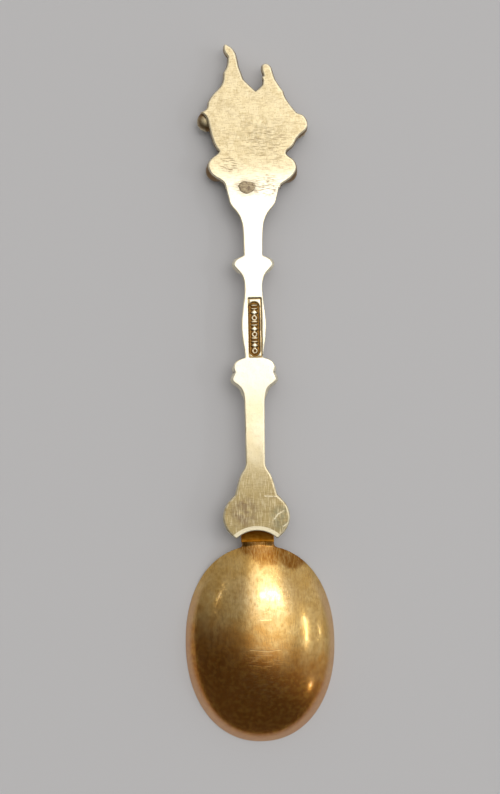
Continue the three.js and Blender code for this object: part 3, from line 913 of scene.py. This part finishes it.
def cast_gilt(name):
    """Cast metal with a thin gilding: mottled, filed, darker in hollows, with painted brown shade on its
    walls, a painted highlight along the upper stem, and bright worn edges that also carry a painted
    highlight.

    Both castings share it, so that the look runs on across their joint.
    """
    f = Finish(name)
    depth = f.attribute("depth")
    proud = f.attribute("proud")
    # Painted shade: the side walls below the back are browned, standing in for their shaded,
    # dark-reflecting look
    wall = f.between(f.add(depth, f.times(f.noise(0.7, 3), 0.4)), 0.4, 0.9)
    cloud = f.noise(3.1, 3)
    speck = f.noise(0.3, 2)
    filed_end = f.between(f.add(f.y, f.times(cloud, 5)), 37.5, 44)
    pad = f.between(f.add(f.y, f.times(f.noise(2.5, 3), 4)), -3, -16)
    marks = f.times(file_marks(f), f.between(depth, 0.2, 0.05))
    # The lip is polished (lower roughness) and also carries a painted highlight in its colour
    lip = f.times(lip_share(f), f.between(depth, 0.5, 0.15))

    # Painted highlight: the stem between y 4 and 33 is paled towards white, where the light's reflection
    # falls
    painted_sheen_band = f.times(f.between(f.y, -4, 4), f.between(f.y, 41, 33))
    dull_specks = f.times(f.between(speck, 0.5, 0.72), f.most([filed_end, pad, 0.3]))
    # Darker in hollows just below the back
    hollow = f.times(f.between(proud, 0.47, 0.32), f.between(depth, 0.08, 0.3))
    # Worn gilding on the ridges, brightened also as a painted highlight along the edges
    worn_and_sheen_edges = f.times(f.between(proud, 0.56, 0.72), f.patches(0.8, 2, 0.25, 0.5))
    colour = f.coat(f.blend(f.between(cloud, 0.42, 0.7), PALE_GILT, BRIGHT_GILT), [
        # painted highlight on the upper stem
        (painted_sheen_band, 1, PAINTED_SHEEN_GILT),
        (filed_end, 0.8, FILED_GILT),
        (pad, 0.85, DULL_GILT),
        (dull_specks, 0.45, DULL_GILT),
        *finial_stains(f),
        *pad_stains(f, pad),
        (marks, 0.75, TARNISH_AND_SHADE_BROWN),
        # painted shade on the side walls
        (wall, 0.92, TARNISH_AND_SHADE_BROWN),
        # darker in hollows
        (hollow, 1, HOLLOW_DARK_BROWN),
        *stamp_tarnish_and_shade(f, depth),
        # worn edges, also a painted highlight
        (worn_and_sheen_edges, 0.7, BRIGHT_GILT),
        # painted highlight along the pad's polished lip
        (lip, 0.9, BRIGHT_GILT),
    ])

    rough = f.add(f.times(cloud, 0.1), 0.26)
    rough = f.add(rough, f.times(f.most([filed_end, pad, wall]), 0.1))
    rough = f.add(rough, f.times(f.most([marks, f.times(lip, -1)]), 0.1))
    height = f.add(f.times(speck, 0.5), f.times(f.noise(1.3, 2), 1.5))
    polish = f.hairlines((3.5, 0.6, 1), 1.35, 0.012)
    height = f.add(height, f.times(f.most([marks, f.times(polish, 0.35)]), -0.7))
    return f.finish(colour, rough, height, 0.012)


def file_marks(f):
    """Short strokes across the handle, strong near the joint of the two castings."""
    strokes = f.patches((1.1, 0.13, 0.5), 2, 0.5, 0.63)
    zones = [
        f.spot(2.4, 35.4, 3.2, 3),
        f.spot(-3.8, 39.1, 2.4, 1.9),
        f.times(f.spot(2.5, 42.5, 6, 4.5), 0.6),
        f.times(f.between(f.y, 30, 36), 0.3),
        f.times(f.between(f.y, -10, -15), 0.3),
    ]
    return f.times(strokes, f.most(zones))


def lip_share(f):
    """The polished lip along the pad's scooped end."""
    flat = f.vector("MULTIPLY", f.place, (1, 1, 0))
    reach = f.vector("DISTANCE", flat, (PAD_X, COVE["centre_y"], 0))
    edge = COVE["radius"] + COVE["lip_width"]
    return f.between(reach, edge + 0.06, edge - 0.1)


def stamp_tarnish_and_shade(f, depth):
    """Coats of the stamp: a painted shade line in the groove round the panel, a brown ground and golden
    marks.
    """
    reach = f.box_reach(PANEL["centre"], PANEL["half"])
    in_panel = f.times(f.between(reach, 0.1, 0), f.between(depth, 1, 0.7))
    off_line = f.math("ABSOLUTE", f.add(reach, 0.1))
    # Painted shade: a brown line in the panel's groove, standing in for the shadow on its walls
    line = f.times(f.between(off_line, 0.17, 0.05), f.between(depth, 0.5, 0.4))
    sunk = f.between(depth, PANEL["depth"] + 0.02, PANEL["depth"] + 0.09)
    floor = f.between(depth, STAMP["depth"] - 0.24, STAMP["depth"] - 0.06)
    return [
        # painted shade round the panel
        (line, 0.75, PANEL_SHADE_LINE),
        (f.times(in_panel, sunk), 0.75, STAMP_GOLD),
        (f.times(in_panel, floor), 0.9, STAMP_GROUND),
    ]


def finial_stains(f):
    """Coats of the finial's stains, over its filed back."""
    mottle = f.patches(1.1, 4, 0.44, 0.66)
    on_finial = f.between(f.y, 36, 40)
    centre = f.times(f.spot(1, 44.5, 6, 5, 0.9), f.patches((0.6, 0.9, 1), 3, 0.42, 0.6))
    polish = f.times(f.patches((0.1, 0.8, 1), 2, 0.5, 0.66), on_finial)
    return [
        (f.times(mottle, on_finial), 0.45, MOTTLED_GILT),
        (centre, 0.4, SMOKED_GILT),
        (polish, 0.3, BRIGHT_GILT),
        (patch_halo(f), 1, HALO_BROWN),
    ]


def patch_halo(f):
    """How far the solder has stained the gilding in streaks round its spot."""
    streaks = f.patches((0.9, 0.14, 1), 2, 0.3, 0.62)
    return f.times(f.spot(*PATCH_CENTRE, 2.9, 2.1, 0.75), streaks)


def pad_stains(f, pad):
    """Coats of the stains and scratches on the root pad."""
    left = f.times(f.spot(-2.4, -19.9, 3, 3.4), f.patches(0.9, 3, 0.3, 0.6))
    right = f.times(f.spot(4.2, -21, 2.9, 3), f.patches(0.8, 3, 0.25, 0.6))
    pale_streaks = f.times(f.patches((0.16, 1.6, 1), 3, 0.46, 0.7), pad)
    scratches = f.most([f.scratch(*line, 0.2) for line in PAD_SCRATCHES])
    return [
        (left, 0.7, PURPLE_STAIN),
        (right, 0.7, GREEN_STAIN),
        (pale_streaks, 0.55, PALE_GILT),
        (f.times(scratches, f.patches(0.4, 2, 0.3, 0.5)), 0.8, BRIGHT_GILT),
    ]


def bowl_gilt():
    """Gold plate: streaked lengthwise, amber by the neck, with a painted red-brown dark reflection towards
    the tip, a painted pinkish reflection at the rim and a painted pale glow round the main highlight.
    """
    f = Finish("gilt_bowl")
    cloud = f.noise(2.6, 4)
    mottle = f.noise(0.75, 4)
    fibre = f.noise((0.16, 1.1, 0.6), 3)
    grain = f.noise(0.22, 2)
    neck_zone = f.most([f.spot(*zone, 1) for zone in BOWL_AMBER])
    ragged = f.add(f.times(f.noise((0.5, 1, 0.8), 4), 0.7), f.times(f.noise((0.2, 0.35, 0.3), 2), 0.35))
    neck = f.times(f.between(f.add(neck_zone, ragged), 0.5, 1.05), f.between(fibre, 0.95, 0.35))
    # Painted reflection: the bowl darkens to red-brown towards the tip, standing in for the dark room it
    # reflects
    low_end = f.add(f.y, f.add(f.times(cloud, 9), f.times(f.x, 0.35)))
    painted_dark = f.between(low_end, -32, -45)
    left = f.times(f.spot(-7.5, -43.5, 4.5, 9, 0.8), f.patches((0.7, 2.2, 1), 3, 0.42, 0.6))
    fine = f.times(f.patches((2.4, 0.1, 1), 1, 0.58, 0.68), f.spot(0.4, -44.6, 4.4, 2.6))
    below = f.times(f.patches((0.9, 0.16, 1), 2, 0.5, 0.68), f.spot(0.4, -49, 7, 5, 1))
    scratches = f.most([f.scratch(*line, 0.09) for line in BOWL_SCRATCHES])
    hair = f.most([f.hairlines((6, 1.1, 2), turn, 0.006) for turn in (0.3, 1.9, 2.7)])
    hair = f.times(hair, f.patches(2.2, 2, 0.45, 0.6))
    # Painted reflection: a pinkish band along the rim towards the tip, standing in for the table seen at a
    # grazing angle
    inside = f.spot(BOWL_CENTRE_X, BOWL_CENTRE_Y, BOWL_HALF_WIDTH, BOWL_HALF_LENGTH, 0.14)
    rim = f.times(f.between(inside, 0.9, 0.1), f.between(f.y, -30, -38))

    lines = f.most([scratches, fine, f.times(below, 0.5), f.times(hair, 0.3)])
    colour = f.coat(f.blend(f.between(cloud, 0.35, 0.68), DEEP_GOLD, LIGHT_GOLD), [
        # painted glow: the gold is paled round the main highlight
        (f.spot(1.2, -34.5, 8, 6.5, 1), 0.6, PAINTED_GLOW_GOLD),
        (f.between(mottle, 0.42, 0.66), 0.45, OLIVE_GOLD),
        # painted dark reflection towards the tip
        (painted_dark, 0.9, PAINTED_DARK_RED),
        (left, 0.5, LEFT_BROWN),
        (f.between(fibre, 0.48, 0.7), 0.35, STREAK_BROWN),
        # orange mottling within the painted dark reflection
        (f.times(f.between(mottle, 0.56, 0.34), painted_dark), 0.65, ORANGE_GOLD),
        (neck, 1, NECK_AMBER),
        # painted reflection along the rim
        (rim, 0.6, PAINTED_RIM_REFLECTION),
        (lines, 0.5, SCRATCH_GOLD),
    ])

    rough = f.add(f.times(cloud, 0.1), f.times(fibre, 0.08))
    rough = f.add(rough, f.add(f.times(neck, 0.12), 0.09))
    height = f.add(f.times(fibre, 0.6), f.times(f.noise(1.9, 3), 1.5))
    height = f.add(height, f.times(f.add(grain, mottle), 0.5))
    height = f.add(height, f.times(f.most([scratches, f.times(fine, 0.6), f.times(hair, 0.35)]), -1))
    material = f.finish(colour, rough, height, 0.006)
    f.shader.inputs["Coat Weight"].default_value = 0.4
    f.shader.inputs["Coat Roughness"].default_value = 0.05
    return material


def neck_solder_finish():
    """Solder gone amber brown, with painted shade darkening it in its hollow by the pad's wall."""
    f = Finish("bowl_joint_solder")
    cloud = f.noise((0.9, 0.6, 0.9), 4)
    # Painted shade: the fillet darkens towards the pad's scooped wall, under the lip
    painted_dark = f.between(f.add(f.y, f.times(cloud, 0.6)), PAD_END_Y + 0.3, PAD_END_Y + COVE["sagitta"] + 0.3)
    colour = f.blend(f.between(cloud, 0.35, 0.65), SOLDER_AMBER, SOLDER_ORANGE)
    # painted shade in the hollow
    colour = f.blend(f.times(painted_dark, 0.6), colour, SOLDER_SHADE_BROWN)
    rough = f.add(f.times(cloud, 0.2), 0.3)
    return f.finish(colour, rough, f.add(cloud, f.times(f.noise(0.25, 2), 0.5)), 0.02)


def patch_finish():
    """Grey solder with the file's streaks across it, going over to the stain round it at its edge."""
    f = Finish("finial_joint_solder")
    streaks = f.noise((0.9, 0.14, 1), 2)
    cloud = f.noise((0.4, 0.6, 1), 3)
    colour = f.blend(f.between(streaks, 0.38, 0.6), SOLDER_PALE, SOLDER_GREY)
    colour = f.blend(f.between(cloud, 0.48, 0.64), colour, SOLDER_DARK)
    edge = f.between(f.spot(*PATCH_CENTRE, 1.7, 1.2, 0.5), 0.6, 0)
    colour = f.blend(f.times(edge, f.between(streaks, 0.6, 0.36)), colour, FILED_GILT)
    rough = f.add(f.times(streaks, 0.15), 0.34)
    return f.finish(colour, rough, f.times(streaks, -1), 0.012)


# ---- stage

VIEW_MIDDLE = (-0.99, -0.41)  # the plan point under the camera, in millimetres
VIEW_HEIGHT = 300
VIEW_LENGTH = 136.7  # how much of the table the long side of the picture shows
VIEW_TURN = -1  # degrees
FLOOR = {"half": 1.5, "z": -2e-5, "colour": (0.7, 0.72, 0.77, 1)}  # in metres, just below the spoon's rim


def make_camera():
    camera = put("camera", bpy.data.cameras.new("camera"))
    camera.location = Vector((*VIEW_MIDDLE, VIEW_HEIGHT)) * MM
    camera.rotation_euler = (0, 0, math.radians(VIEW_TURN))
    camera.data.sensor_width = 36
    camera.data.lens = camera.data.sensor_width * VIEW_HEIGHT / VIEW_LENGTH
    camera.data.clip_start = 0.01
    bpy.context.scene.camera = camera


# The room's light rises from dark to bright along an axis. The glow's edge is the cosine of its reach
ROOM = {"axis": (0.42, 0.9, 0), "low": -0.55, "high": 0.45, "dark": 0.11, "bright": 0.66}
ROOM_COLOUR = (1, 0.95, 0.88, 1)
GLOW = {"tilt_y": 15, "tilt_x": 12, "edge": 0.8, "strength": 1.05}
WARM = (1, 0.96, 0.9)
COOL = (0.95, 0.97, 1)

# Lamps: tilts from overhead towards +Y and +X, distance and sizes in metres, power and colour
LAMPS = {
    "key": (11, 17, 1.2, (0.7, 0.05), 0.8, WARM),
    "window": (-2, 54.6, 1.3, (0.03, 0.34), 0.5, COOL),
    "window_edge": (-15, 78, 1.3, (0.03, 0.12), 0.08, COOL),
    "left_lamp": (25.3, -57.3, 1.3, (0.03, 0.03), 0.03, WARM),
    "low_lamp": (-60.2, 69.4, 1.3, (0.05, 0.08), 0.14, COOL),
}


def make_floor():
    data = bpy.data.meshes.new("table_top")
    half = FLOOR["half"]
    corners = [(x, y, FLOOR["z"]) for x, y in ((-half, -half), (half, -half), (half, half), (-half, half))]
    data.from_pydata(corners, [], [(0, 1, 2, 3)])
    floor = put("table_top", data)
    material = bpy.data.materials.new("table_top")
    material.use_nodes = True
    shader = material.node_tree.nodes["Principled BSDF"]
    shader.inputs["Base Color"].default_value = FLOOR["colour"]
    shader.inputs["Roughness"].default_value = 0.8
    data.materials.append(material)


def soft_light(name, tilt_y, tilt_x, distance, size, power, colour):
    """An area light aimed at the spoon from a tilted direction."""
    direction = tilted(tilt_y, tilt_x)
    data = bpy.data.lights.new(name, "AREA")
    data.shape = "RECTANGLE"
    data.size, data.size_y = size
    data.energy = power
    data.color = colour
    light = put(name, data)
    light.location = direction * distance
    across = Vector((0, 1, 0)).cross(direction).normalized()
    light.rotation_euler = Matrix((across, direction.cross(across), direction)).transposed().to_euler()


def tilted(tilt_y, tilt_x):
    """The direction that leans from overhead towards +Y and +X by two angles."""
    return Vector((math.tan(math.radians(tilt_x)), math.tan(math.radians(tilt_y)), 1)).normalized()


def make_room():
    """A dim room that is lighter towards +Y and +X, with a broad soft glow overhead."""
    world = bpy.data.worlds.new("room")
    world.use_nodes = True
    tree = world.node_tree
    side = room_shade(tree, ROOM["axis"], ROOM["low"], ROOM["high"], ROOM["dark"], ROOM["bright"])
    glow = room_shade(tree, tilted(GLOW["tilt_y"], GLOW["tilt_x"]), GLOW["edge"], 1, 0, GLOW["strength"])
    background = tree.nodes["Background"]
    background.inputs["Color"].default_value = ROOM_COLOUR
    total = add_node(tree, "Math", {0: side, 1: glow}).outputs[0]
    tree.links.new(total, background.inputs["Strength"])
    bpy.context.scene.world = world


def room_shade(tree, axis, low, high, dark, bright):
    """A shade that rises smoothly from dark to bright as the direction turns towards an axis."""
    direction = add_node(tree, "TexCoord").outputs["Generated"]
    dot = add_node(tree, "VectorMath", {0: direction, 1: axis}, operation="DOT_PRODUCT").outputs["Value"]
    ends = {"Value": dot, "From Min": low, "From Max": high, "To Min": dark, "To Max": bright}
    return add_node(tree, "MapRange", ends, interpolation_type="SMOOTHSTEP").outputs["Result"]


# ---- the spoon

def place(piece, material, node, slot):
    """Gives a piece its material and puts it in the place of a CAD node."""
    piece.data.materials.append(material)
    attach(piece, "root")
    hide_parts(node)


make_camera()
make_floor()
make_room()
for lamp, settings in LAMPS.items():
    soft_light(lamp, *settings)
bpy.context.scene.view_settings.view_transform = "Standard"

place(make_bowl(), bowl_gilt(), "bowl", "gilt_bowl")
place(make_stem(), cast_gilt("gilt_stem"), "handle_stem", "gilt_stem")
place(make_finial(), cast_gilt("gilt_finial"), "finial", "gilt_finial")
place(make_neck_solder(), neck_solder_finish(), "bowl_solder", "bowl_joint_solder")
place(make_patch(), patch_finish(), "finial_solder", "finial_joint_solder")
